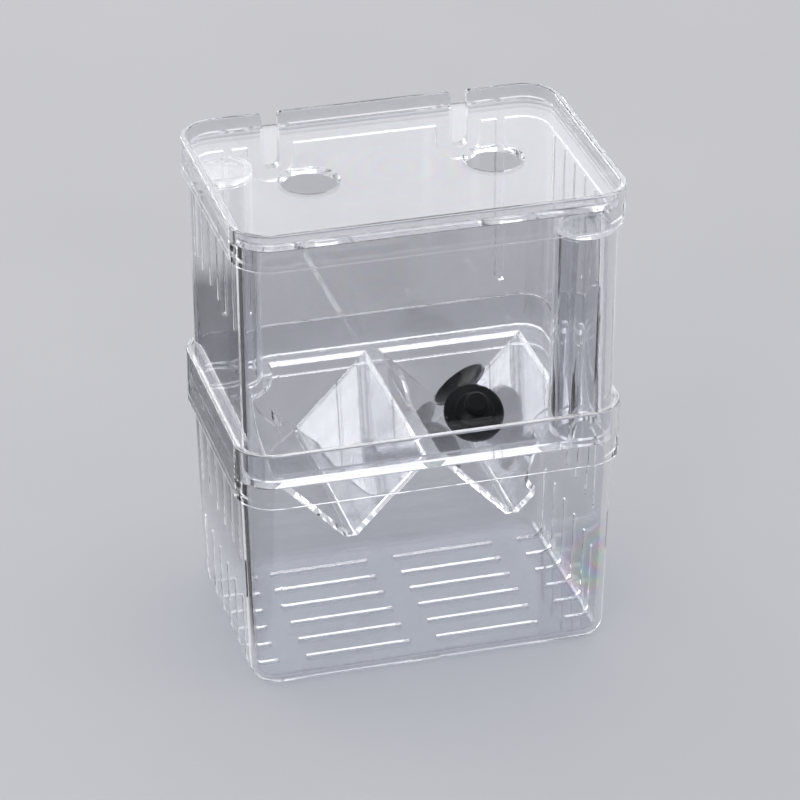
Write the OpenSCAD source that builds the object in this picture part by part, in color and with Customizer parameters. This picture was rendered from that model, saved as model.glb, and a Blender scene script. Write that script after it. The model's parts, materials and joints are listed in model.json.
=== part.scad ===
// Two-storey fish breeding box in clear plastic.
// The lower box is a basket with slots in its floor and side walls. A trough insert hangs on
// the ledge inside its rim, the upper box stands on the insert, and a plate lid lies in the
// rim of the upper box. Two rubber suction cups lie in the right-hand trough.
// Units are mm. X is the width, Y the depth (front at -Y), Z is up, the floor stands on Z = 0.

/* [Overall] */
// Width over the rims
box_w = 120; // [110:1:150]
// Depth over the rims
box_d = 85; // [80:1:110]
// Corner radius of the rims
rim_r = 12; // [11:0.5:14]
// Height of the lower box
low_h = 83; // [80:1:100]
// Height of the upper box from its bottom edge to its rim
up_h = 81.7; // [75:0.1:110]

/* [Walls] */
// Wall and floor thickness of the lower box
wall_t = 2; // [1.6:0.1:2.4]
// How far both rims stand out from the walls below them
rim_out = 2; // [1:0.1:2.4]
// Radius of the blunted edges of both rim bands
edge_r = 0.6; // [0.2:0.1:0.8]
// Height of the lower box's thick rim band
low_band = 18.4; // [15:0.1:22]
// Depth of the ledge below the top of the lower rim
ledge_in = 11.7; // [9:0.1:13]
// Height of the upper box's thick rim band
up_band = 11.9; // [9:0.1:15]
// Depth of the lid's ledge below the top of the upper rim
lid_in = 5.4; // [3:0.1:7]
// Outside radius of the rounded bottom edge
bottom_r = 5; // [4:0.5:6]
// How far the lower walls lean in from the rim band to the floor
draft = 1.6; // [0.4:0.1:2]
// Gap between the upper box's bottom edge and the lower rim
nest_gap = 0.7; // [0.4:0.05:1]
// Wall thickness of the upper box at its bottom edge
sleeve_t = 1.8; // [1.4:0.1:2]

/* [Slots] */
// Width of every water slot
slot_w = 1.4; // [0.8:0.1:2]
// Distance from slot to slot
slot_pitch = 10; // [7:0.5:10]
// Number of slots in a row
slot_rows = 6; // [2:2:6]
// Length of the straight slots in the floor
floor_slot_l = 33; // [20:1:36]
// Distance from the middle of the floor to the start of its slots
floor_slot_x = 4.3; // [2:0.1:8]
// Length on the floor of the slots that turn up the wall
bend_slot_l = 10.4; // [8:0.1:12]
// Height on the wall of the slots that turn up the wall
bend_slot_h = 26.5; // [14:0.5:32]
// Height where the upper wall slots of the lower box start
wall_slot_z = 39.5; // [35:0.5:48]
// Length of the slots in the side walls of the upper box
up_slot_l = 25.5; // [10:0.5:35]

/* [Rear wall] */
// Distance of each hanger slot from the middle of the rear wall
hang_x = 30; // [20:0.5:32]
// Width of a hanger slot
hang_w = 5.2; // [4.4:0.1:7]
// Depth of a hanger slot from the top of the rim
hang_h = 19.3; // [16:0.1:24]
// Radius of the two corners at the mouth of a hanger slot
hang_lip_r = 1.5; // [0.5:0.1:2]
// Width of the thick tongue round a hanger slot
tongue_w = 14.5; // [11:0.5:18]
// Distance of each rib from the middle of the rear wall
rib_x = 43.5; // [42:0.5:45]
// Width of a rib
rib_w = 2.7; // [1.6:0.1:3.5]
// Length of a rib below the rim band
rib_l = 54; // [30:1:55]

/* [Corner floats] */
// Outside radius at the top of a float column
float_r = 9.2; // [8.6:0.1:9.4]
// Extra outside radius at the bottom of a float column
float_flare = 0.9; // [0.2:0.1:1.2]
// Radius of the air space at the top of a float column
float_bore_r = 7.2; // [6:0.1:7.3]
// Height of the closed top below the rim band
float_drop = 1.1; // [0.5:0.1:6]
// Thickness of the closed top
float_top_t = 2.4; // [1.6:0.1:4]
// Depth of the round recess in the closed top
float_dish = 0.6; // [0.2:0.1:1]

/* [Lid] */
// Lid thickness
lid_t = 2.2; // [1.6:0.1:2.8]
// Gap between the lid and the rim round it
lid_gap = 0.35; // [0.3:0.05:0.8]
// Diameter of the two lid holes
hole_d = 17.5; // [12:0.5:22]
// Distance of each lid hole from the middle of the lid
hole_x = 28.5; // [20:0.5:34]
// Distance of the lid holes in front of the middle line
hole_y = 1.5; // [0:0.5:6]
// Edge break at the top of the lid holes
hole_cut = 0.6; // [0.2:0.1:1]

/* [Trough insert] */
// Gap between the insert's frame and the lower rim
frame_gap = 0.4; // [0.3:0.05:1]
// Thickness of the frame and the ridge rail
frame_t = 2; // [1.5:0.1:2.6]
// Width of the frame's side bars
side_bar = 8.9; // [7:0.1:10]
// Width of the frame's front and rear bars
front_bar = 5.7; // [4.5:0.1:7]
// Radius of the pads under the two float columns
pad_r = 14.6; // [13:0.1:15]
// Radius of the hole in each pad
pad_hole_r = 7.5; // [5:0.1:8.5]
// Gap between a pad and the trough plate cut away for it
pad_gap = 1.2; // [0.6:0.1:2.5]
// Width of the ridge rail between the troughs
ridge_w = 4; // [3:0.1:6]
// Depth of the troughs below the top of the frame
trough_h = 25.2; // [23:0.1:27]
// Thickness of the trough plates
trough_t = 1.9; // [1.4:0.1:2.4]
// Thickness of a trough at the lips of its slot
trough_lip = 1.45; // [1.1:0.05:2]
// Width of the slot along the bottom of a trough
drop_w = 1.3; // [0.8:0.1:2.4]
// Length of the closed bridge at each end of that slot
drop_end = 1.5; // [1:0.1:4]
// Length of the finger fin on the ridge rail
fin_l = 24; // [18:1:28]
// Height of the finger fin
fin_h = 6.2; // [3:0.1:7]
// Thickness of the finger fin
fin_t = 1.4; // [1:0.1:3]
// Distance of the finger fin's middle behind the middle of the ridge rail
fin_y = 6.5; // [-8:0.5:8]

/* [Suction cups] */
// Diameter of the sealing lip
cup_d = 19; // [16:0.5:19]
// Depth of the hollow face
cup_hollow = 2.4; // [1.5:0.1:2.6]
// Diameter of the round back
cup_back_d = 12.6; // [10:0.2:13]
// Diameter of the neck
cup_neck_d = 4.6; // [3.5:0.1:5.5]
// Diameter of the button behind the neck
cup_button_d = 7.8; // [6.4:0.2:7.8]
// Height from the lip to the end of the button
cup_h = 8.8; // [8:0.1:8.8]
// Clearance between a cup and the plates it lies on
cup_gap = 0.15; // [0.05:0.05:0.3]
// Distance of the rear cup's middle from the rear end of the trough
rear_cup_in = 10.4; // [10.4:0.2:14]
// Turn of the rear cup about the upright axis, in degrees
rear_cup_turn = -22.1; // [-30:0.1:-15]
// Tilt of the rear cup's axis from upright, in degrees
rear_cup_tilt = 143.9; // [138:0.1:150]
// Turn of the front cup about the upright axis, in degrees
front_cup_turn = -95; // [-105:1:-85]
// Tilt of the front cup's axis from upright, in degrees
front_cup_tilt = 38; // [34:1:42]
// Distance between the two cups' lip centres along the trough, in cup radii
cups_apart = 1.7; // [1.7:0.05:2]

/* [Hidden] */
$fn = 96;
low_step_z = low_h - low_band;
ledge_z = low_h - ledge_in;
frame_top_z = ledge_z + frame_t;
up_z = frame_top_z;
top_z = up_z + up_h;
up_step_z = top_z - up_band;
lid_z = top_z - lid_in;
// half sizes of the rectangle through the centres of the corner arcs
half_x = box_w / 2 - rim_r;
half_y = box_d / 2 - rim_r;
// distances outward from that rectangle
u_rim = rim_r;
u_wall = rim_r - rim_out;
u_low = u_wall - draft;
u_ledge = u_wall - wall_t;
u_in = u_low - wall_t;
u_round = u_low - bottom_r;
u_sleeve = u_wall - nest_gap;
u_sleeve_in = u_sleeve - sleeve_t;
u_lid = u_wall - lid_gap;
u_frame = u_wall - frame_gap;
// the blunted edges take less than half of a thin rim
blunt_r = min(edge_r, 0.45 * rim_out);
// lower box floor
floor_x = half_x + u_low;
// opening of the frame
open_x = half_x + u_frame - side_bar;
open_y = half_y + u_frame - front_bar;
// trough section
trough_x = (open_x + ridge_w / 2) / 2;
trough_half = (open_x - ridge_w / 2) / 2;
trough_z = frame_top_z - trough_h;
lip_z = trough_z + trough_lip;
run = trough_half - drop_w / 2;
rise = frame_top_z - lip_z;
slope = atan(rise / run);
plate_v = trough_t / cos(slope);
foot_x = trough_half - (frame_top_z - plate_v - trough_z) / tan(slope);
// float columns
float_z = up_step_z - float_drop;
float_h = float_z - up_z;
float_flange_r = float_r + 0.5;
// a circle with its centre on the fin's middle line gives the fin's curved top
fin_r = (fin_l * fin_l / 4 + fin_h * fin_h) / (2 * fin_h);
// suction cups
cup_r = cup_d / 2;
cup_in_r = cup_r - 0.6;
cup_ball_r = (cup_in_r * cup_in_r + cup_hollow * cup_hollow) / (2 * cup_hollow);
cup_lip_t = 0.8;
cup_hub_z = cup_h - 5.2;
cup_button_z = cup_h - 3;
rear_cup_y = open_y - rear_cup_in;
cup_edge = [[cup_r, 0], [cup_r, cup_lip_t], [cup_button_d / 2, cup_button_z + 0.6],
    [cup_button_d / 2, cup_h - 1], [cup_button_d / 2 - 1, cup_h]];

CLEAR = [0.86, 0.9, 0.94, 0.35];
RUBBER = [0.06, 0.06, 0.065];

// ---- helpers ----

// Sweeps a wall section (u outward, z up) round the four corners and along the four sides.
module swept_wall() {
    translate([half_x, half_y, 0])
        rotate_extrude(angle = 90) children();
    translate([-half_x, half_y, 0])
        rotate([0, 0, 90])
            rotate_extrude(angle = 90) children();
    translate([-half_x, -half_y, 0])
        rotate([0, 0, 180])
            rotate_extrude(angle = 90) children();
    translate([half_x, -half_y, 0])
        rotate([0, 0, 270])
            rotate_extrude(angle = 90) children();
    for (s = [0, 180])
        rotate([0, 0, s]) {
            translate([half_x, half_y, 0])
                rotate([90, 0, 0])
                    linear_extrude(height = 2 * half_y) children();
            translate([-half_x, half_y, 0])
                rotate([0, 0, 90])
                    rotate([90, 0, 0])
                        linear_extrude(height = 2 * half_x) children();
        }
}

// Rounded rectangle whose edge lies u outside the rectangle of corner centres.
module plate_2d(u) {
    square([2 * (half_x + u), 2 * half_y], center = true);
    square([2 * half_x, 2 * (half_y + u)], center = true);
    for (x = [-half_x, half_x], y = [-half_y, half_y])
        translate([x, y]) circle(r = u);
}

// Cuts the sharp corner off a section; as drawn, the material lies below and inside of it.
module blunt(u, z, flip_u = 0, flip_z = 0) {
    translate([u, z])
        mirror([flip_u, 0])
            mirror([0, flip_z])
                difference() {
                    translate([-blunt_r, -blunt_r]) square(blunt_r + 1);
                    translate([-blunt_r, -blunt_r]) circle(r = blunt_r);
                }
}

// Blunts the three free corners of a rim band that goes from z0 up to z1.
module blunt_rim(z0, z1) {
    blunt(u_rim, z1);
    blunt(u_wall, z1, flip_u = 1);
    blunt(u_rim, z0, flip_z = 1);
}

// Extrudes a shape drawn in X and Z from the plane y1 forward to y0.
module from_front(y0, y1) {
    translate([0, y1, 0])
        rotate([90, 0, 0])
            linear_extrude(height = y1 - y0) children();
}

// Y positions of the slots in a row.
function slot_y(i) = (i - (slot_rows - 1) / 2) * slot_pitch;

// ---- lower box ----

module low_wall_2d() {
    difference() {
        union() {
            square([u_round, bottom_r]);
            intersection() {
                translate([u_round, bottom_r]) circle(r = bottom_r);
                translate([u_round, 0]) square([bottom_r, bottom_r]);
            }
            polygon([[0, bottom_r], [u_low, bottom_r], [u_wall, low_step_z],
                [0, low_step_z]]);
            translate([0, low_step_z]) square([u_rim, low_band]);
        }
        // inside of the box: floor, rounded edge, leaning wall, then the wider rim
        translate([-1, wall_t]) square([u_round + 1, bottom_r - wall_t]);
        translate([u_round, bottom_r]) circle(r = bottom_r - wall_t);
        polygon([[-1, bottom_r], [u_in, bottom_r], [u_ledge, low_step_z],
            [u_ledge, ledge_z], [-1, ledge_z]]);
        translate([-1, ledge_z]) square([u_wall + 1, ledge_in + 1]);
        blunt_rim(low_step_z, low_h);
    }
}

module low_slots() {
    for (i = [0 : slot_rows - 1])
        translate([0, slot_y(i), 0]) {
            for (m = [0, 1])
                mirror([m, 0, 0]) {
                    // straight slot in the floor
                    translate([floor_slot_x, -slot_w / 2, -1])
                        cube([floor_slot_l, slot_w, wall_t + 2]);
                    // slot that runs off the floor, round the edge and up the wall
                    translate([floor_x - bend_slot_l, -slot_w / 2, -1])
                        cube([bend_slot_l + 2, slot_w, bend_slot_h + 1]);
                    // slot in the upper part of the wall
                    translate([half_x, -slot_w / 2, wall_slot_z])
                        cube([rim_r + 1, slot_w, low_step_z - 1.2 - wall_slot_z]);
                }
        }
}

module lower_box() {
    color(CLEAR)
        difference() {
            union() {
                swept_wall() low_wall_2d();
                translate([-half_x, -half_y, 0])
                    cube([2 * half_x, 2 * half_y, wall_t]);
            }
            low_slots();
        }
}

// ---- upper box ----

module up_wall_2d() {
    difference() {
        union() {
            polygon([[u_sleeve - 4, up_z], [u_sleeve, up_z], [u_wall, up_step_z],
                [u_sleeve - 4, up_step_z]]);
            translate([u_sleeve - 4, up_step_z]) square([u_rim - u_sleeve + 4, up_band]);
        }
        polygon([[0, up_z - 1], [u_sleeve_in, up_z - 1], [u_sleeve_in, up_z],
            [u_ledge, up_step_z], [u_ledge, lid_z], [0, lid_z]]);
        translate([0, lid_z]) square([u_wall, lid_in + 1]);
        blunt_rim(up_step_z, top_z);
    }
}

// Slot open at the rim, with a round bottom and rounded corners at its mouth.
module hang_2d() {
    translate([-hang_w / 2, top_z - hang_h + hang_w / 2])
        square([hang_w, hang_h]);
    translate([0, top_z - hang_h + hang_w / 2]) circle(r = hang_w / 2);
    difference() {
        translate([-hang_w / 2 - hang_lip_r, top_z - hang_lip_r])
            square([hang_w + 2 * hang_lip_r, hang_lip_r + 1]);
        for (s = [-1, 1])
            translate([s * (hang_w / 2 + hang_lip_r), top_z - hang_lip_r])
                circle(r = hang_lip_r);
    }
}

// Strip that hangs from the rim band and ends in a half circle.
module strap_2d(w, z0) {
    translate([-w / 2, z0 + w / 2]) square([w, up_step_z + 1 - z0 - w / 2]);
    translate([0, z0 + w / 2]) circle(r = w / 2);
}

// Places a shape drawn at the rear right corner at the rear left and front right ones.
module both_float_corners() {
    mirror([1, 0, 0]) children();
    mirror([0, 1, 0]) children();
}

// Column in a corner: a wide-footed tube with a closed top and an open bottom.
module float_column() {
    intersection() {
        translate([half_x, half_y, up_z])
            cylinder(r1 = float_r + float_flare, r2 = float_r, h = float_h - 0.5);
        union() {
            translate([half_x - 20, half_y - 20, up_z - 1])
                cube([20, 20 + u_sleeve - 0.6, float_h + 2]);
            translate([half_x - 20, half_y - 20, up_z - 1])
                cube([20 + u_sleeve - 0.6, 20, float_h + 2]);
        }
    }
    translate([half_x, half_y, up_z])
        rotate_extrude(angle = 90) square([u_sleeve - 0.6, float_h - 0.5]);
    translate([half_x, half_y, float_z - float_top_t])
        cylinder(r = float_flange_r, h = float_top_t);
}

// Air space of the column and the shallow recess in its top.
module float_hollow() {
    translate([half_x, half_y, up_z - 1])
        cylinder(r1 = float_bore_r + 0.2, r2 = float_bore_r, h = float_h - float_top_t + 1);
    translate([half_x, half_y, float_z - float_dish])
        cylinder(r = float_bore_r, h = float_dish + 1);
}

module upper_box() {
    color(CLEAR)
        difference() {
            union() {
                swept_wall() up_wall_2d();
                from_front(half_y + u_sleeve - 0.6, box_d / 2)
                    for (s = [-1, 1]) {
                        translate([s * hang_x, 0])
                            strap_2d(tongue_w, top_z - hang_h + (hang_w - tongue_w) / 2);
                        translate([s * rib_x, 0]) strap_2d(rib_w, up_step_z - rib_l);
                    }
                both_float_corners() float_column();
            }
            both_float_corners() float_hollow();
            from_front(half_y + 2, box_d / 2 + 1)
                for (s = [-1, 1])
                    translate([s * hang_x, 0]) hang_2d();
            for (i = [0 : slot_rows - 1], m = [0, 1])
                mirror([m, 0, 0])
                    translate([half_x + 2, slot_y(i) - slot_w / 2, up_step_z - up_slot_l])
                        cube([rim_r, slot_w, up_slot_l - 0.6]);
        }
}

// ---- lid ----

module lid() {
    color(CLEAR)
        difference() {
            translate([0, 0, lid_z])
                linear_extrude(height = lid_t) plate_2d(u_lid);
            swept_wall() blunt(u_lid, lid_z + lid_t);
            for (s = [-1, 1])
                translate([s * hole_x, -hole_y, lid_z]) {
                    translate([0, 0, -1]) cylinder(d = hole_d, h = lid_t + 2);
                    translate([0, 0, lid_t - hole_cut])
                        cylinder(d1 = hole_d, d2 = hole_d + 4 * hole_cut, h = 2 * hole_cut);
                }
        }
}

// ---- trough insert ----

module insert_frame() {
    color(CLEAR)
        translate([0, 0, ledge_z])
            linear_extrude(height = frame_t)
                difference() {
                    plate_2d(u_frame);
                    difference() {
                        square([2 * open_x, 2 * open_y], center = true);
                        for (s = [-1, 1])
                            translate([-s * half_x, s * half_y]) circle(r = pad_r);
                    }
                    for (s = [-1, 1])
                        translate([-s * half_x, s * half_y]) circle(r = pad_hole_r);
                }
}

// Section of one trough: two leaning plates that meet in a flat foot.
module trough_2d() {
    polygon([[-trough_half, frame_top_z], [-drop_w / 2, lip_z], [drop_w / 2, lip_z],
        [trough_half, frame_top_z], [trough_half, frame_top_z - plate_v],
        [foot_x, trough_z], [-foot_x, trough_z],
        [-trough_half, frame_top_z - plate_v]]);
}

module trough(side) {
    difference() {
        from_front(-open_y, open_y) translate([side * trough_x, 0]) trough_2d();
        translate([side * trough_x - drop_w / 2, drop_end - open_y, trough_z - 1])
            cube([drop_w, 2 * (open_y - drop_end), trough_lip + 2]);
        translate([side * half_x, -side * half_y, trough_z - 1])
            cylinder(r = pad_r + pad_gap, h = trough_h + 2);
    }
}

module left_trough() {
    color(CLEAR) trough(-1);
}

module right_trough() {
    color(CLEAR) trough(1);
}

module ridge_rail() {
    color(CLEAR) {
        translate([-ridge_w / 2, -open_y, ledge_z])
            cube([ridge_w, 2 * open_y, frame_t]);
        translate([ridge_w / 2 - fin_t, 0, 0])
            rotate([90, 0, 90])
                linear_extrude(height = fin_t)
                    intersection() {
                        translate([fin_y, frame_top_z + fin_h - fin_r]) circle(r = fin_r);
                        translate([fin_y - fin_l / 2, frame_top_z - 1])
                            square([fin_l, fin_h + 2]);
                    }
    }
}

// ---- suction cups ----

// Half section of a cup, lip on z = 0, button at the top.
module cup_2d() {
    difference() {
        union() {
            square([cup_r, cup_lip_t]);
            polygon([[0, 0], [cup_r, cup_lip_t], [cup_back_d / 2, cup_lip_t + 0.9],
                [cup_back_d / 2 - 0.6, cup_lip_t + 1.5], [cup_neck_d / 2, cup_hub_z],
                [0, cup_hub_z]]);
            square([cup_neck_d / 2, cup_h - 1]);
            translate([0, cup_button_z])
                polygon([[0, 0], [cup_button_d / 2 - 0.4, 0], [cup_button_d / 2, 0.6],
                    [cup_button_d / 2, 2], [cup_button_d / 2 - 1, 3], [0, 3]]);
        }
        translate([0, cup_hollow - cup_ball_r]) circle(r = cup_ball_r);
        translate([-20, -20]) square([20, 60]);
        translate([-20, -40]) square([60, 40]);
    }
}

module suction_cup() {
    rotate_extrude() cup_2d();
}

// Direction of a leaning cup's axis, from lip to button.
function cup_axis(turn, tilt) = [sin(tilt) * cos(turn), sin(tilt) * sin(turn), cos(tilt)];

// How far a cup reaches from its lip centre towards a plate; along is the part of the cup's
// axis that points away from the plate.
function cup_reach(along) =
    max([for (p = cup_edge) p[0] * sqrt(1 - along * along) - p[1] * along]) + cup_gap;

// A cup lying between the two plates of the right trough, touching both.
module leaning_cup(y, turn, tilt) {
    axis = cup_axis(turn, tilt);
    left_reach = cup_reach(axis * [sin(slope), 0, cos(slope)]);
    right_reach = cup_reach(axis * [-sin(slope), 0, cos(slope)]);
    off_middle = (left_reach - right_reach) / 2 / sin(slope);
    above_lip = ((left_reach + right_reach) / 2 - drop_w / 2 * sin(slope)) / cos(slope);
    color(RUBBER)
        translate([trough_x + off_middle, y, lip_z + above_lip])
            rotate([0, 0, turn])
                rotate([0, tilt, 0]) suction_cup();
}

// The rear cup lies on its button and its lip, with its hollow face up.
module rear_suction_cup() {
    leaning_cup(rear_cup_y, rear_cup_turn, rear_cup_tilt);
}

// The front cup stands on its lip and leans back on the rear one.
module front_suction_cup() {
    leaning_cup(rear_cup_y - cups_apart * cup_r, front_cup_turn, front_cup_tilt);
}

lower_box();
upper_box();
lid();
insert_frame();
left_trough();
right_trough();
ridge_rail();
rear_suction_cup();
front_suction_cup();
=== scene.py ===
# %% [markdown]
# # A clear two-storey breeding box
# The real object is a stack of thin injection mouldings in clear plastic: a slotted basket,
# a lift-out insert with two V-shaped troughs, an upper box and a lid, with two black rubber
# suction cups lying loose in one trough. The shapes come ready-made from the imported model.
# This lesson gives them their looks: how light passes through them, where their edges
# gleam, and what small flaws tell the eye that a thing is moulded plastic and not air.
# %% Load the fixed frame
import json
import math

import bmesh
import bpy
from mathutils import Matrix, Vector
from mathutils.kdtree import KDTree

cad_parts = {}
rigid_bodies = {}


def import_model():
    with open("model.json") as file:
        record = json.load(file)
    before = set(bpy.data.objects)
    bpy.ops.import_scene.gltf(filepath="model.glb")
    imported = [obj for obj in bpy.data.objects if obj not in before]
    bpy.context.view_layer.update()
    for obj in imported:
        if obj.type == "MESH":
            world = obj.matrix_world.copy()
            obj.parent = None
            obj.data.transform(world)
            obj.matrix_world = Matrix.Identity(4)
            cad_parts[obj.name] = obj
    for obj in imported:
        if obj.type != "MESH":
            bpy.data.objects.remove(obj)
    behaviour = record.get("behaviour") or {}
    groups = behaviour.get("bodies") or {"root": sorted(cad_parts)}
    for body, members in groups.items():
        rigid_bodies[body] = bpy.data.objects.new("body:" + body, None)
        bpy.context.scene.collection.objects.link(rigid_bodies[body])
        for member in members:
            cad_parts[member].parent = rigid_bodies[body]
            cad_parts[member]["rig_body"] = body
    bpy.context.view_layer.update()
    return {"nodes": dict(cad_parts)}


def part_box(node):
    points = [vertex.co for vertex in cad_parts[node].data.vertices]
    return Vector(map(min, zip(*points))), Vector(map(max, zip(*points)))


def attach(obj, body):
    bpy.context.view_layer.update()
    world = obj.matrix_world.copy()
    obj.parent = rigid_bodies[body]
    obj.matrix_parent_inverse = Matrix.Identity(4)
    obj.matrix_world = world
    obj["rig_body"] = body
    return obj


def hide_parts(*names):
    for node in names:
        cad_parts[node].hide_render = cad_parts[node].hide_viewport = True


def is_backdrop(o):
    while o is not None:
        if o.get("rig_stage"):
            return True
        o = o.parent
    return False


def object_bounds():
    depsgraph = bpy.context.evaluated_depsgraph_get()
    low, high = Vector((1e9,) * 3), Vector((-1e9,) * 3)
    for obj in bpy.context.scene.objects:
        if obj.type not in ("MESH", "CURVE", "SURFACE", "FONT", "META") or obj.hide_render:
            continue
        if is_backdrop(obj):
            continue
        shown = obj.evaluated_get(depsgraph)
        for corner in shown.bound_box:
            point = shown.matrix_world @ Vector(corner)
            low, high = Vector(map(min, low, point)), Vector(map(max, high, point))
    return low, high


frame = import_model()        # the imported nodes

nodes = frame["nodes"]
print("nodes:", ", ".join(sorted(nodes)))

# %% [markdown]
# ## The camera
# A long lens from about a metre away keeps the rims nearly parallel, as in a catalogue
# picture. It could be aimed with a constraint, but two angles and a distance round a named
# point are easier to read and to change.
# %% Place the camera
MM = 0.001
TURN = math.radians(-15.70)      # round the upright axis; 0 looks straight at the front
RISE = math.radians(28.67)       # above the horizon
CAMERA_DISTANCE = 1188.9 * MM
AIM = Vector((-0.157 * MM, 0.0, 72.575 * MM))
FOCAL_LENGTH = 173.98            # of the lens, in millimetres, as is the sensor
SENSOR_WIDTH = 36.0

towards_camera = Vector((
    math.sin(TURN) * math.cos(RISE),
    -math.cos(TURN) * math.cos(RISE),
    math.sin(RISE),
))
camera_data = bpy.data.cameras.new("studio_camera")
camera_data.lens = FOCAL_LENGTH
camera_data.sensor_width = SENSOR_WIDTH
camera = bpy.data.objects.new("studio_camera", camera_data)
camera.location = AIM + CAMERA_DISTANCE * towards_camera
camera.rotation_euler = (math.pi / 2 - RISE, 0.0, TURN)
bpy.context.scene.collection.objects.link(camera)
bpy.context.scene.camera = camera
print("camera at", [round(v, 3) for v in camera.location])

# %% [markdown]
# ## How deep light may go
# A look through the lid, an upper wall, a trough and the basket crosses more than a dozen
# plastic faces, and each one costs a bounce. Light also runs inside a wall, mirrored from
# face to face, and leaves at its edge. Those mirrorings count as glossy bounces, of which
# only four are allowed at first, and with so few every edge turns dark instead of bright.
# %% Let light pass through the whole stack
BOUNCES = 48
cycles = bpy.context.scene.cycles
cycles.max_bounces = BOUNCES
cycles.glossy_bounces = BOUNCES
cycles.transmission_bounces = BOUNCES
cycles.transparent_max_bounces = BOUNCES
bpy.context.scene.view_settings.view_transform = "Standard"
print("light bounces:", cycles.max_bounces)

# %% [markdown]
# ## Small helpers for building materials
# Every finish below is made of nodes. They could be wired by hand in the shader editor, but
# code can be read and repeated. Six helpers keep those cells short: the first adds a node,
# the second puts a value or a link into a socket, whichever it is given, and the others do
# one step of arithmetic, stretch a value, make noise and blend two colours.
# %% Node helpers
def add(tree, kind, **settings):
    """A new node with its settings."""
    node = tree.nodes.new(kind)
    for name, value in settings.items():
        setattr(node, name, value)
    return node


def feed(tree, socket, value):
    """Links a socket, or sets a plain value."""
    if isinstance(value, bpy.types.NodeSocket):
        tree.links.new(value, socket)
    else:
        socket.default_value = value


def maths(tree, operation, first, second=0.5, third=0.5, clamp=False):
    """One arithmetic step."""
    node = add(tree, "ShaderNodeMath", operation=operation, use_clamp=clamp)
    for socket, value in zip(node.inputs, (first, second, third)):
        feed(tree, socket, value)
    return node.outputs[0]


def spread(tree, value, low, high, new_low=0.0, new_high=1.0):
    """Stretches the part of a value between low and high, and cuts off the rest."""
    node = add(tree, "ShaderNodeMapRange")
    for socket, number in zip(node.inputs, (value, low, high, new_low, new_high)):
        feed(tree, socket, number)
    return node.outputs[0]


def noise(tree, place, scale, detail=2.0, roughness=0.5, turn=0.0):
    """Grey noise at a place; turn is a fourth coordinate that gives another pattern."""
    node = add(tree, "ShaderNodeTexNoise", noise_dimensions="4D")
    for name, value in (("Vector", place), ("W", turn), ("Scale", scale),
                        ("Detail", detail), ("Roughness", roughness)):
        feed(tree, node.inputs[name], value)
    return node.outputs["Fac"]


def blend(tree, factor, first, second, mode="MIX"):
    """One colour where the factor is 0, and another one, or their product, where it is 1."""
    node = add(tree, "ShaderNodeMix", data_type="RGBA", blend_type=mode)
    feed(tree, node.inputs["Factor"], factor)
    feed(tree, node.inputs[6], first)
    feed(tree, node.inputs[7], second)
    return node.outputs[2]


print("node helpers ready")

# %% [markdown]
# ## Effects that several materials share
# Ripples, scratches and dust are the same on every piece apart from their size. Each could
# be rebuilt in every material, but a node group is built once and placed with other values,
# so a change to it reaches all pieces. Its sockets are its knobs. The next five cells each
# build one group.
# %% A helper for node groups
NUMBER, COLOUR, VECTOR = "NodeSocketFloat", "NodeSocketColor", "NodeSocketVector"


def new_group(name, inputs, outputs):
    """A node group with named sockets, and its inlet and outlet nodes."""
    group = bpy.data.node_groups.new(name, "ShaderNodeTree")
    for label, kind, value in inputs:
        socket = group.interface.new_socket(label, in_out="INPUT", socket_type=kind)
        socket.default_value = value
    for label, kind in outputs:
        group.interface.new_socket(label, in_out="OUTPUT", socket_type=kind)
    return group, add(group, "NodeGroupInput"), add(group, "NodeGroupOutput")


print("socket kinds:", NUMBER, COLOUR, VECTOR)

# %% [markdown]
# ## Moulding ripple
# Injection-moulded plastic is never quite flat. The melt cools unevenly and leaves long
# shallow waves, with a much finer orange peel copied from the steel. A bump map is enough,
# because the waves are hundredths of a millimetre high, and one group serves every piece.
# Squeeze packs the waves closer along one axis, which turns them into the flow lines of a
# flat plate.
# %% Build the moulding_ripple group
CREST_RANGE = (0.45, 0.75)       # noise that counts as the crest of a wave

ripple, inlet, outlet = new_group(
    "moulding_ripple",
    [("Wave Length", NUMBER, 0.022), ("Peel Size", NUMBER, 0.0012),
     ("Peel Share", NUMBER, 0.12), ("Squeeze", VECTOR, (1.0, 1.0, 1.0)),
     ("Pattern", NUMBER, 0.0)],
    [("Height", NUMBER), ("Gloss Loss", NUMBER)],
)
place = add(ripple, "ShaderNodeTexCoord").outputs["Object"]
packed = add(ripple, "ShaderNodeVectorMath", operation="MULTIPLY")
feed(ripple, packed.inputs[0], place)
feed(ripple, packed.inputs[1], inlet.outputs["Squeeze"])
waves_per_metre = maths(ripple, "DIVIDE", 1.0, inlet.outputs["Wave Length"])
waves = noise(ripple, packed.outputs[0], waves_per_metre, detail=1.0,
              turn=inlet.outputs["Pattern"])
dimples_per_metre = maths(ripple, "DIVIDE", 1.0, inlet.outputs["Peel Size"])
peel = noise(ripple, place, dimples_per_metre, detail=1.0, turn=inlet.outputs["Pattern"])
height = maths(ripple, "MULTIPLY_ADD", peel, inlet.outputs["Peel Share"], waves)
feed(ripple, outlet.inputs["Height"], height)
feed(ripple, outlet.inputs["Gloss Loss"], spread(ripple, waves, *CREST_RANGE))
print("group:", ripple.name)

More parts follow.
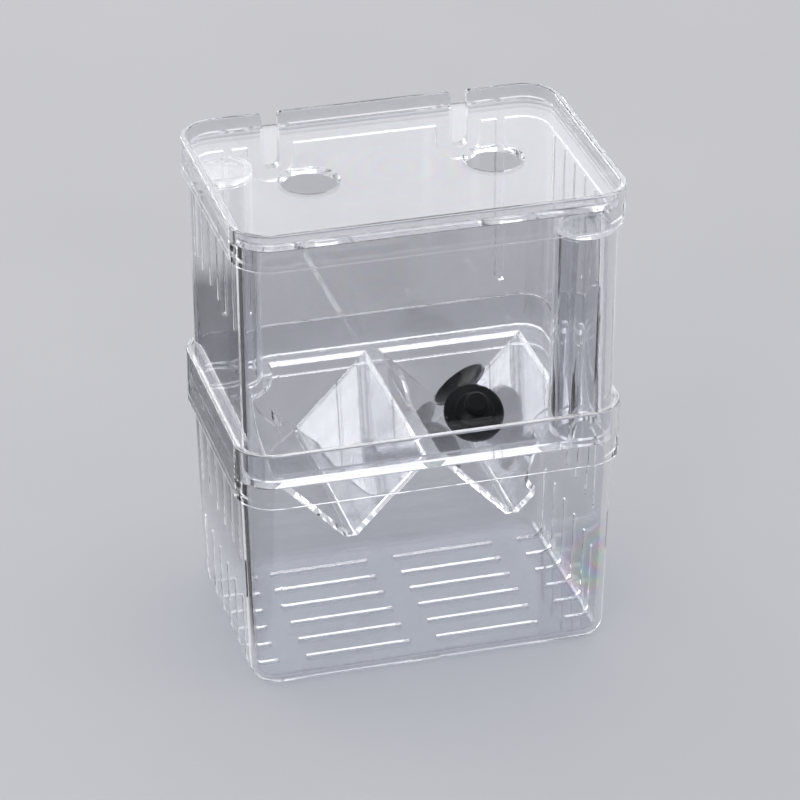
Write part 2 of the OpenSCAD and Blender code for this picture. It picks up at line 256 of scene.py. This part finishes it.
# %% [markdown]
# ## Hairline scratches
# Clear plastic is soft, and handling leaves fine straight scratches in a few directions.
# They could be drawn one by one, but noise that is drawn out along one axis gives streaks,
# and keeping only its crests makes them sparse. Two copies are turned and laid over each
# other, because one direction alone looks like brushing.
# %% Build the hairline_scratches group
STREAK_LEVEL = 0.78              # noise above this is a scratch when Amount is 0
STREAK_DROP = -0.10              # how much Amount 1 lowers that level
STREAK_RAMP = 0.05               # from the rim of a scratch to its full depth
STREAK_TURNS = ((0.2, 0.9, 0.5), (1.1, -0.4, 2.1))      # radians round X, Y and Z

scratches, inlet, outlet = new_group(
    "hairline_scratches",
    [("Length", NUMBER, 0.03), ("Width", NUMBER, 0.0004), ("Amount", NUMBER, 0.5),
     ("Pattern", NUMBER, 0.0)],
    [("Mask", NUMBER)],
)
place = add(scratches, "ShaderNodeTexCoord").outputs["Object"]
along = maths(scratches, "DIVIDE", 1.0, inlet.outputs["Length"])
across = maths(scratches, "DIVIDE", 1.0, inlet.outputs["Width"])
squeeze = add(scratches, "ShaderNodeCombineXYZ")
for axis, rate in zip("XYZ", (along, across, across)):
    feed(scratches, squeeze.inputs[axis], rate)
crest = maths(scratches, "MULTIPLY_ADD", inlet.outputs["Amount"], STREAK_DROP, STREAK_LEVEL)
full = maths(scratches, "ADD", crest, STREAK_RAMP)
masks = []
for turned in STREAK_TURNS:
    turn = add(scratches, "ShaderNodeMapping", vector_type="TEXTURE")
    feed(scratches, turn.inputs["Vector"], place)
    turn.inputs["Rotation"].default_value = turned
    stretch = add(scratches, "ShaderNodeVectorMath", operation="MULTIPLY")
    feed(scratches, stretch.inputs[0], turn.outputs[0])
    feed(scratches, stretch.inputs[1], squeeze.outputs[0])
    streaks = noise(scratches, stretch.outputs[0], 1.0, detail=1.0,
                    turn=inlet.outputs["Pattern"])
    masks.append(spread(scratches, streaks, crest, full))
feed(scratches, outlet.inputs["Mask"], maths(scratches, "MAXIMUM", masks[0], masks[1]))
print("group:", scratches.name)

# %% [markdown]
# ## Dust
# A little dust settles on whatever faces up. Thousands of tiny grains would be the literal
# way, but at this size a mask looks the same. The group multiplies fine specks and a soft
# film by how far the surface looks upwards, so that walls stay clean and ledges don't.
# %% Build the settled_dust group
UPWARD_RANGE = (0.3, 0.95)       # Z parts of the normal where dust begins and is full
SPECK_RANGE = (0.66, 0.74)       # noise that counts as a speck
FILM_SCALE = 45.0                # patches of film per metre
FILM_RANGE = (0.4, 0.7)
FILM_SHARE = 0.25                # of the specks' strength

dust, inlet, outlet = new_group(
    "settled_dust",
    [("Speck Size", NUMBER, 0.0006), ("Pattern", NUMBER, 0.0)],
    [("Mask", NUMBER)],
)
place = add(dust, "ShaderNodeTexCoord").outputs["Object"]
facing = add(dust, "ShaderNodeSeparateXYZ")
feed(dust, facing.inputs[0], add(dust, "ShaderNodeNewGeometry").outputs["Normal"])
upward = spread(dust, facing.outputs["Z"], *UPWARD_RANGE)
specks_per_metre = maths(dust, "DIVIDE", 1.0, inlet.outputs["Speck Size"])
specks = noise(dust, place, specks_per_metre, detail=2.0, turn=inlet.outputs["Pattern"])
film = noise(dust, place, FILM_SCALE, detail=3.0, turn=inlet.outputs["Pattern"])
grains = spread(dust, specks, *SPECK_RANGE)
cover = maths(dust, "MULTIPLY_ADD", spread(dust, film, *FILM_RANGE), FILM_SHARE, grains)
feed(dust, outlet.inputs["Mask"], maths(dust, "MULTIPLY", cover, upward, clamp=True))
print("group:", dust.name)

# %% [markdown]
# ## A painted highlight on the lip
# A suction cup ends in a thin lip, which shows as a thin light line. That line is a painted
# highlight: the rubber is made lighter grey there. It could be painted by hand, but the lip is
# a circle, so the distance from its middle is enough: the group's mask marks whatever lies in
# the outermost hair of that circle, in patches.
# %% Build the painted_lip_highlight group
LIP_RANGE = (0.952, 0.966)       # shares of the radius where the painted highlight begins and is full
PATCH_SCALE = 400.0              # patches of the painted highlight per metre
PATCH_RANGE = (0.2, 0.6)

lip, inlet, outlet = new_group(
    "painted_lip_highlight",
    [("Centre", VECTOR, (0.0, 0.0, 0.0)), ("Radius", NUMBER, 0.0095), ("Pattern", NUMBER, 0.0)],
    [("Mask", NUMBER)],
)
place = add(lip, "ShaderNodeTexCoord").outputs["Object"]
reach = add(lip, "ShaderNodeVectorMath", operation="DISTANCE")
feed(lip, reach.inputs[0], place)
feed(lip, reach.inputs[1], inlet.outputs["Centre"])
share = maths(lip, "DIVIDE", reach.outputs["Value"], inlet.outputs["Radius"])
patches = noise(lip, place, PATCH_SCALE, turn=inlet.outputs["Pattern"])
outermost = spread(lip, share, *LIP_RANGE)
highlight_patches = spread(lip, patches, *PATCH_RANGE)
feed(lip, outlet.inputs["Mask"], maths(lip, "MULTIPLY", outermost, highlight_patches))
print("group:", lip.name)

# %% [markdown]
# ## Frozen-in stress colours
# Where melt froze under pressure the plastic splits light slightly, and faint pink, green
# and gold bands show in it. A renderer doesn't split light that way, so the bands are drawn:
# rings round the spot where the melt came in, bent by noise, and so weak that only a hint
# of them tints the wall. Each colour is a cosine of the distance, a third of a band later
# than the one before.
# %% Build the stress_colours group
BEND_SCALE = 90.0                # bends in the rings per metre
BEND = 0.014                     # how far they bend, in metres
LAGS = (("Red", 0.0), ("Green", 0.33), ("Blue", 0.66))
FADE_RANGE = (0.2, 1.0)          # shares of Reach between which the bands fade out

stress, inlet, outlet = new_group(
    "stress_colours",
    [("Tint", COLOUR, (1.0, 1.0, 1.0, 1.0)), ("Gate", VECTOR, (0.0, 0.0, 0.0)),
     ("Reach", NUMBER, 0.03), ("Band Width", NUMBER, 0.006), ("Strength", NUMBER, 0.1)],
    [("Color", COLOUR)],
)
place = add(stress, "ShaderNodeTexCoord").outputs["Object"]
gap = add(stress, "ShaderNodeVectorMath", operation="DISTANCE")
feed(stress, gap.inputs[0], place)
feed(stress, gap.inputs[1], inlet.outputs["Gate"])
bends = noise(stress, place, BEND_SCALE)
bent = maths(stress, "MULTIPLY_ADD", bends, BEND, gap.outputs["Value"])
phase = maths(stress, "DIVIDE", bent, inlet.outputs["Band Width"])
bands = add(stress, "ShaderNodeCombineColor")
for channel, lag in LAGS:
    turns = maths(stress, "MULTIPLY", maths(stress, "ADD", phase, lag), 2.0 * math.pi)
    wave = maths(stress, "MULTIPLY_ADD", maths(stress, "COSINE", turns), 0.5, 0.5)
    feed(stress, bands.inputs[channel], wave)
fade = maths(stress, "DIVIDE", gap.outputs["Value"], inlet.outputs["Reach"])
near = spread(stress, fade, *FADE_RANGE, 1.0, 0.0)
weight = maths(stress, "MULTIPLY", near, inlet.outputs["Strength"])
tinted = blend(stress, weight, inlet.outputs["Tint"], bands.outputs[0])
feed(stress, outlet.inputs["Color"], tinted)
print("group:", stress.name)

# %% [markdown]
# ## A window for lamplight
# A lamp's light that is bent by plastic is hard to find, so clear plastic would cast a
# shadow as dark as wood. Caustics could be rendered with many more samples. Here shadow
# rays, and rays that bounced off something matt, meet a plain tinted window instead, and
# only the eye sees the bending. Light Path tells the kinds of ray apart.
# %% The lamplight window
WINDOW = (0.90, 0.915, 0.935, 1.0)


def either(tree, factor, first, second):
    """One shader where the factor is 0 and another where it is 1."""
    node = add(tree, "ShaderNodeMixShader")
    for socket, value in zip(node.inputs, (factor, first, second)):
        feed(tree, socket, value)
    return node.outputs[0]


def with_window(tree, shader):
    """A shader that turns into the window for shadow rays and matt bounces."""
    window = add(tree, "ShaderNodeBsdfTransparent")
    window.inputs["Color"].default_value = WINDOW
    ray = add(tree, "ShaderNodeLightPath").outputs
    lit = either(tree, ray["Is Shadow Ray"], shader, window.outputs[0])
    return either(tree, ray["Is Diffuse Ray"], lit, window.outputs[0])


print("window colour:", WINDOW[:3])

# %% [markdown]
# ## Clear moulded plastic
# The box is a hard clear plastic such as acrylic, which bends light nearly as much as glass.
# It could be a simple see-through shader, but then no edge would gleam, so it is treated as
# what it is to light: a glass of its own, one shader with full transmission. Its gloss, bump
# and tint are driven by the groups above, each piece with its own pattern. The crests of
# the waves are a little duller and darker in tint, most of all on the flat plates, where the
# squeezed waves run as darker streaks.
# %% The clear plastic material
PLASTIC_IOR = 1.50               # acrylic has 1.49
CLEAR_TINT = (0.865, 0.870, 0.888, 1.0)
CLEAR_GLOSS = 0.012              # roughness of a clean spot
CREST_BLUR = 0.015               # what each effect adds to it
SCRATCH_BLUR = 0.10
DUST_BLUR = 0.12
SCRATCH_DEPTH = -0.06            # as a share of the waves' height
CLEAR_PEEL = 0.04                # likewise
EVEN = (1.0, 1.0, 1.0)           # waves alike in all directions


def place_group(tree, group, **values):
    """Puts a shared group in a material, with this material's own values."""
    node = add(tree, "ShaderNodeGroup", node_tree=group)
    for name, value in values.items():
        feed(tree, node.inputs[name.replace("_", " ").title()], value)
    return node.outputs


def new_material(name):
    """An empty material and its node tree."""
    material = bpy.data.materials.new(name)
    material.use_nodes = True
    material.node_tree.nodes.clear()
    return material, material.node_tree


def finish_material(tree, shader):
    """Links a shader to the material's output."""
    feed(tree, add(tree, "ShaderNodeOutputMaterial").inputs["Surface"], shader)


def bumped(tree, shader, height, depth):
    """Gives a shader a relief of a certain depth."""
    bump = add(tree, "ShaderNodeBump")
    bump.inputs["Distance"].default_value = depth
    feed(tree, bump.inputs["Height"], height)
    feed(tree, shader.inputs["Normal"], bump.outputs[0])


def clear_plastic(name, pattern, wave=0.022, wave_depth=0.00006, squeeze=EVEN, scratched=0.5,
                  crest_darkening=0.06, gate=(0.0, 0.0, 0.0), stressed=0.05, reach=0.03):
    """Clear plastic with ripples, scratches, dust and colours; lengths are in metres."""
    material, tree = new_material(name)
    waves = place_group(tree, ripple, wave_length=wave, peel_share=CLEAR_PEEL,
                        squeeze=squeeze, pattern=pattern)
    hairlines = place_group(tree, scratches, amount=scratched, pattern=pattern)
    settled = place_group(tree, dust, pattern=pattern)
    shade = place_group(tree, stress, tint=CLEAR_TINT, gate=gate, strength=stressed,
                        reach=reach)
    # A darker tint along the crests of the waves.
    crest_tint = (1.0 - crest_darkening, 1.0 - crest_darkening, 1.0 - crest_darkening, 1.0)
    shader = add(tree, "ShaderNodeBsdfPrincipled")
    shader.inputs["Transmission Weight"].default_value = 1.0
    shader.inputs["IOR"].default_value = PLASTIC_IOR
    feed(tree, shader.inputs["Base Color"],
         blend(tree, waves["Gloss Loss"], shade["Color"], crest_tint, mode="MULTIPLY"))
    rough = maths(tree, "MULTIPLY_ADD", waves["Gloss Loss"], CREST_BLUR, CLEAR_GLOSS)
    rough = maths(tree, "MULTIPLY_ADD", hairlines["Mask"], SCRATCH_BLUR, rough)
    rough = maths(tree, "MULTIPLY_ADD", settled["Mask"], DUST_BLUR, rough, clamp=True)
    feed(tree, shader.inputs["Roughness"], rough)
    relief = maths(tree, "MULTIPLY_ADD", hairlines["Mask"], SCRATCH_DEPTH, waves["Height"])
    bumped(tree, shader, relief, wave_depth)
    finish_material(tree, with_window(tree, shader.outputs[0]))
    return material


print("clear plastic bends light by", PLASTIC_IOR)

# %% [markdown]
# ## A film of air between touching pieces
# Pieces that stand on each other always keep a film of air between them, and that film is
# what makes their edges gleam, because light inside the plastic is mirrored at it. In the
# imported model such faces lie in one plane, and a ray can't tell which it meets first, so
# the seams would turn black. The lid, the insert and its plates are therefore shown by
# copies that are two hundredths of a millimetre smaller all round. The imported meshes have
# their corners split for shading. A welded copy says which way each corner has to go.
# %% Stand-ins with a film of air
AIR_FILM = 0.02 * MM
WELD = 0.001 * MM


def draw_in(mesh, step):
    """Moves every face of a closed mesh inwards by a step."""
    welded = bmesh.new()
    welded.from_mesh(mesh)
    bmesh.ops.remove_doubles(welded, verts=welded.verts, dist=WELD)
    welded.normal_update()
    finder = KDTree(len(welded.verts))
    outward = []
    for number, corner in enumerate(welded.verts):
        finder.insert(corner.co, number)
        outward.append(corner.normal * corner.calc_shell_factor())
    finder.balance()
    welded.free()
    for vertex in mesh.vertices:
        vertex.co -= step * outward[finder.find(vertex.co)[1]]


def stand_in(node_name, material):
    """A copy of a node, a film of air smaller, that is shown in its place."""
    node = nodes[node_name]
    mesh = node.data.copy()
    draw_in(mesh, AIR_FILM)
    mesh.materials.clear()
    mesh.materials.append(material)
    piece = bpy.data.objects.new("clear_" + node_name, mesh)
    bpy.context.scene.collection.objects.link(piece)
    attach(piece, node["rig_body"])
    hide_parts(node_name)
    print(node_name, "is shown by", piece.name, "in", material.name)


def dress(node_name, material):
    """Gives a node's object one material."""
    slots = nodes[node_name].data.materials
    slots.clear()
    slots.append(material)
    print(node_name, "<-", material.name)


# %% [markdown]
# ## The seven clear pieces and what sets them apart
# The boxes and the lid are polished mouldings with long waves. The troughs are flatter
# plates. The insert's frame and its rail are small and handled most, so they carry more
# scratches. The melt gate of each piece is where its stress colours sit. One material could
# serve all seven, but then neighbours would share their waves and scratches.
# %% Dress the clear pieces
dress("lower_box", clear_plastic(
    "basket_plastic", pattern=1.0, wave=0.026, gate=(0.052, -0.036, 0.029), stressed=0.25,
    reach=0.017))
dress("upper_box", clear_plastic(
    "box_plastic", pattern=2.0, wave=0.030, gate=(0.0, 0.040, 0.100)))
stand_in("lid", clear_plastic(
    "lid_plastic", pattern=3.0, wave=0.034, wave_depth=0.00008, gate=(0.0, 0.0, 0.150),
    stressed=0.07, reach=0.06))
stand_in("insert_frame", clear_plastic(
    "insert_frame_plastic", pattern=4.0, scratched=0.9, gate=(0.0, -0.037, 0.073)))
stand_in("ridge_rail", clear_plastic(
    "ridge_rail_plastic", pattern=5.0, scratched=0.9, gate=(0.0, 0.0, 0.073)))
for side, pattern in (("left", 6.0), ("right", 7.0)):
    low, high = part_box(side + "_trough")
    middle = (low + high) / 2
    stand_in(side + "_trough", clear_plastic(
        side + "_trough_plastic", pattern=pattern, wave=0.030, wave_depth=0.00001,
        squeeze=(0.2, 8.0, 0.2), crest_darkening=0.14, gate=tuple(middle)))

# %% [markdown]
# ## Black rubber
# The suction cups are soft black rubber, smooth but not glossy. A thin bloom greys it in
# patches, fine grain breaks up its shine, and dust clings to it. The lip gets a painted
# highlight in lighter grey. Bloom and highlight could be painted on as a picture, but the
# shared groups give patches of any size, so they are mixed here.
# Nothing passes through rubber, so a plain surface shader does.
# %% Dress the suction cups
RUBBER_SHINE = 0.13              # specular level: rubber mirrors little
RUBBER_GLOSS = 0.30              # roughness, and what the bloom adds to it
BLOOM_BLUR = 0.15
DUST_SHARE = 0.6                 # how much settled dust counts as bloom
GRAIN_DEPTH = 0.08 * MM
RUBBER_DARK = (0.004, 0.004, 0.005, 1.0)
RUBBER_BLOOM = (0.011, 0.011, 0.013, 1.0)
# Lighter grey of the lip: a painted highlight.
RUBBER_LIP_HIGHLIGHT = (0.40, 0.40, 0.41, 1.0)


def lip_circle(node_name):
    """Middle and radius of a cup's lip, which its two farthest corners span."""
    corners = [vertex.co for vertex in nodes[node_name].data.vertices]
    middle = sum(corners, Vector()) / len(corners)
    first = max(corners, key=lambda corner: (corner - middle).length)
    second = max(corners, key=lambda corner: (corner - first).length)
    return (first + second) / 2, (first - second).length / 2


def black_rubber(node_name, pattern, lip_highlight_share):
    """Smooth black rubber with bloom, grain, clinging dust and a painted highlight on the lip.
    """
    centre, radius = lip_circle(node_name)
    material, tree = new_material("black_rubber_of_" + node_name)
    grain = place_group(tree, ripple, wave_length=0.006, peel_size=0.0005,
                        peel_share=0.5, pattern=pattern)
    settled = place_group(tree, dust, speck_size=0.0004, pattern=pattern)
    lip_highlight_mask = place_group(tree, lip, centre=tuple(centre), radius=radius, pattern=pattern)
    greyed = maths(tree, "MULTIPLY_ADD", settled["Mask"], DUST_SHARE, grain["Gloss Loss"],
                   clamp=True)
    bloom = blend(tree, greyed, RUBBER_DARK, RUBBER_BLOOM)
    # Painted highlight: the lip's colour turns lighter grey, in patches.
    with_lip_highlight = blend(tree, maths(tree, "MULTIPLY", lip_highlight_mask["Mask"], lip_highlight_share), bloom, RUBBER_LIP_HIGHLIGHT)
    shader = add(tree, "ShaderNodeBsdfPrincipled")
    shader.inputs["Specular IOR Level"].default_value = RUBBER_SHINE
    feed(tree, shader.inputs["Base Color"], with_lip_highlight)
    feed(tree, shader.inputs["Roughness"],
         maths(tree, "MULTIPLY_ADD", grain["Gloss Loss"], BLOOM_BLUR, RUBBER_GLOSS))
    bumped(tree, shader, grain["Height"], GRAIN_DEPTH)
    finish_material(tree, shader.outputs[0])
    print("lip radius in mm:", round(1000 * radius, 2))
    return material


dress("rear_suction_cup", black_rubber("rear_suction_cup", 8.0, lip_highlight_share=0.9))
dress("front_suction_cup", black_rubber("front_suction_cup", 9.0, lip_highlight_share=0.08))

# %% [markdown]
# ## How often a ray was mirrored
# Light Path's Glossy Depth tells a surface how many mirrorings lie between it and the eye.
# A ray that only passed through the plastic has none. A mirror image on a wall has one. Two
# or more mean that the ray ran along inside a wall, as light does in a glass fibre. The
# floor and the room use this: they may look one way in themselves, another in a mirror
# image, and white to trapped light, which makes the edges gleam. On the floor that white is
# a glow, a painted glint.
# %% Read the mirror depth
# Painted glint: the floor glows this white for light trapped in the plastic.
GLEAM = (1.0, 1.0, 1.02, 1.0)


def mirror_masks(tree):
    """Two masks: 1 for rays mirrored at least once, and 1 for at least twice."""
    depth = add(tree, "ShaderNodeLightPath").outputs["Glossy Depth"]
    return spread(tree, depth, 0.0, 1.0), spread(tree, depth, 1.0, 2.0)


print("trapped light ends in", GLEAM[:3])

# %% [markdown]
# ## The pale floor
# Clear plastic shows what is behind it, so the floor is part of its look. It is a plain pale
# matt disc, a hair below the box's foot so that the two faces never fight for one place. A
# photographer would lay a black card in front of such a box, because the mirror image of a
# pale floor lies like fog over the front walls. The card here is a painted reflection: it
# shows in mirror images only.
# %% Lay the floor
FLOOR_DROP = 0.2 * MM
FLOOR_RADIUS = 7.0
FLOOR_ROUGHNESS = 0.9
FLOOR_SHINE = 0.1
TONE_SCALE = 9.0                 # soft patches of tone per metre
FLOOR_COLOUR = (0.51, 0.51, 0.525, 1.0)
FLOOR_LIGHTER = (0.545, 0.545, 0.56, 1.0)
FLOOR_MIRRORED = (0.53, 0.53, 0.545, 1.0)
# Painted reflection: the dark card that mirror images of the floor show.
PAINTED_CARD_REFLECTION = (0.025, 0.025, 0.028, 1.0)
FLOOR_UNLIT = (0.0, 0.0, 0.0, 1.0)
CARD_FRONT_EDGE = (-0.18, -0.165)        # Y, in metres: card up to here, floor from there
CARD_LEFT_EDGE = (-0.08, -0.065)         # X, likewise
CARD_LEFT_END = (0.23, 0.25)             # Y, where the left card ends behind the box

bpy.ops.mesh.primitive_circle_add(
    vertices=96, radius=FLOOR_RADIUS, fill_type="NGON", location=(0, 0, -FLOOR_DROP))
floor = bpy.context.object
floor.name = "studio_floor"
floor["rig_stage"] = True
floor_finish = bpy.data.materials.new("pale_matt_floor")
floor_finish.use_nodes = True
tree = floor_finish.node_tree
matt = tree.nodes["Principled BSDF"]
matt.inputs["Roughness"].default_value = FLOOR_ROUGHNESS
matt.inputs["Specular IOR Level"].default_value = FLOOR_SHINE
once, twice = mirror_masks(tree)
spot = add(tree, "ShaderNodeTexCoord").outputs["Object"]
ahead = add(tree, "ShaderNodeSeparateXYZ")
feed(tree, ahead.inputs[0], spot)
off_front = spread(tree, ahead.outputs["Y"], *CARD_FRONT_EDGE)
off_left = maths(tree, "MAXIMUM", spread(tree, ahead.outputs["X"], *CARD_LEFT_EDGE),
                 spread(tree, ahead.outputs["Y"], *CARD_LEFT_END))
off_card = maths(tree, "MINIMUM", off_front, off_left)
# Painted reflection: mirrored rays see a dark card in front of the box.
image = blend(tree, off_card, PAINTED_CARD_REFLECTION, FLOOR_MIRRORED)
tone = blend(tree, noise(tree, spot, TONE_SCALE, detail=4.0), FLOOR_COLOUR, FLOOR_LIGHTER)
seen = blend(tree, twice, blend(tree, once, tone, image), FLOOR_UNLIT)
feed(tree, matt.inputs["Base Color"], seen)
# Painted glint: the floor glows for light trapped in the plastic.
matt.inputs["Emission Color"].default_value = GLEAM
feed(tree, matt.inputs["Emission Strength"], twice)
floor.data.materials.append(floor_finish)
print("floor radius:", FLOOR_RADIUS, "m")

# %% [markdown]
# ## The room
# Clear plastic shows up by contrast: its flat faces show the floor behind them, while its
# edges bend the view away to the room. So the room is paler than the floor, and every rim,
# slot and step gleams against it. It could be a picture of a studio, but a world of three
# greys is plain and has no edges that the plastic would mirror. Near the horizon it sinks
# to about the floor's grey, and the side behind the camera is a little dimmer.
# %% Paint the room
ROOM_HORIZON = (0.52, 0.52, 0.535, 1.0)
ROOM_BACK = (0.84, 0.84, 0.87, 1.0)
ROOM_FRONT = (0.70, 0.70, 0.73, 1.0)
FRONT_TO_BACK = (-0.65, 0.0)             # the Y part of a direction of length one
HORIZON_TO_DOME = (0.04, 0.22)           # its Z part

world = bpy.data.worlds.new("soft_room")
bpy.context.scene.world = world
world.use_nodes = True
tree = world.node_tree
tree.nodes.clear()
direction = add(tree, "ShaderNodeSeparateXYZ")
feed(tree, direction.inputs[0], add(tree, "ShaderNodeTexCoord").outputs["Generated"])
backward = spread(tree, direction.outputs["Y"], *FRONT_TO_BACK)
sides = blend(tree, backward, ROOM_FRONT, ROOM_BACK)
upward = spread(tree, direction.outputs["Z"], *HORIZON_TO_DOME)
dome = blend(tree, upward, ROOM_HORIZON, sides)
once, twice = mirror_masks(tree)
sky = add(tree, "ShaderNodeBackground")
feed(tree, sky.inputs["Color"], blend(tree, twice, dome, GLEAM))
feed(tree, add(tree, "ShaderNodeOutputWorld").inputs[0], sky.outputs[0])
print("room:", world.name)

# %% [markdown]
# ## The lamps
# Soft panels give the light a direction. On clear plastic they show as mirror images, so
# each stands where a face mirrors it towards the camera: the veil panel for the lid and the
# trough panel for the sloping plates. The veil panel is large and far away, because a near
# one would glare in a lifted lid. The overhead one lights the floor and shapes the cups, and
# the small front panel puts a soft highlight on the black rubber.
# %% Hang the lamps
def soft_panel(name, centre, aim, width, height, radiance):
    """A rectangular lamp that faces a point; in a mirror, radiance 1 is white."""
    data = bpy.data.lights.new(name, "AREA")
    data.shape = "RECTANGLE"
    data.size = width
    data.size_y = height
    data.energy = radiance * math.pi * width * height
    lamp = bpy.data.objects.new(name, data)
    lamp.location = centre
    lamp.rotation_euler = (Vector(aim) - Vector(centre)).to_track_quat("-Z", "Y").to_euler()
    bpy.context.scene.collection.objects.link(lamp)
    print(name, round(data.energy, 1), "W")
    return lamp


BOX_MIDDLE = (0, 0, 0.07)
soft_panel("overhead_panel", (0.35, 0.1, 1.9), (0, 0, 0.08),
           width=1.1, height=0.8, radiance=1.5)
soft_panel("veil_panel", (1.20, 4.26, 2.64), BOX_MIDDLE,
           width=2.7, height=1.5, radiance=1.15)
soft_panel("front_panel", (-0.95, -1.25, 1.35), BOX_MIDDLE,
           width=0.45, height=0.45, radiance=7.0)
soft_panel("trough_panel", (-1.05, 1.75, 0.55), BOX_MIDDLE,
           width=1.1, height=0.8, radiance=5.0)

# %% [markdown]
# ## The dressed size
# The dressed model's box is measured and printed, in millimetres. The dressed model has
# to stay inside the imported one's box.
# %% Print the dressed size
low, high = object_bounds()
print("dressed box in mm:", [round(1000 * (b - a), 1) for a, b in zip(low, high)])
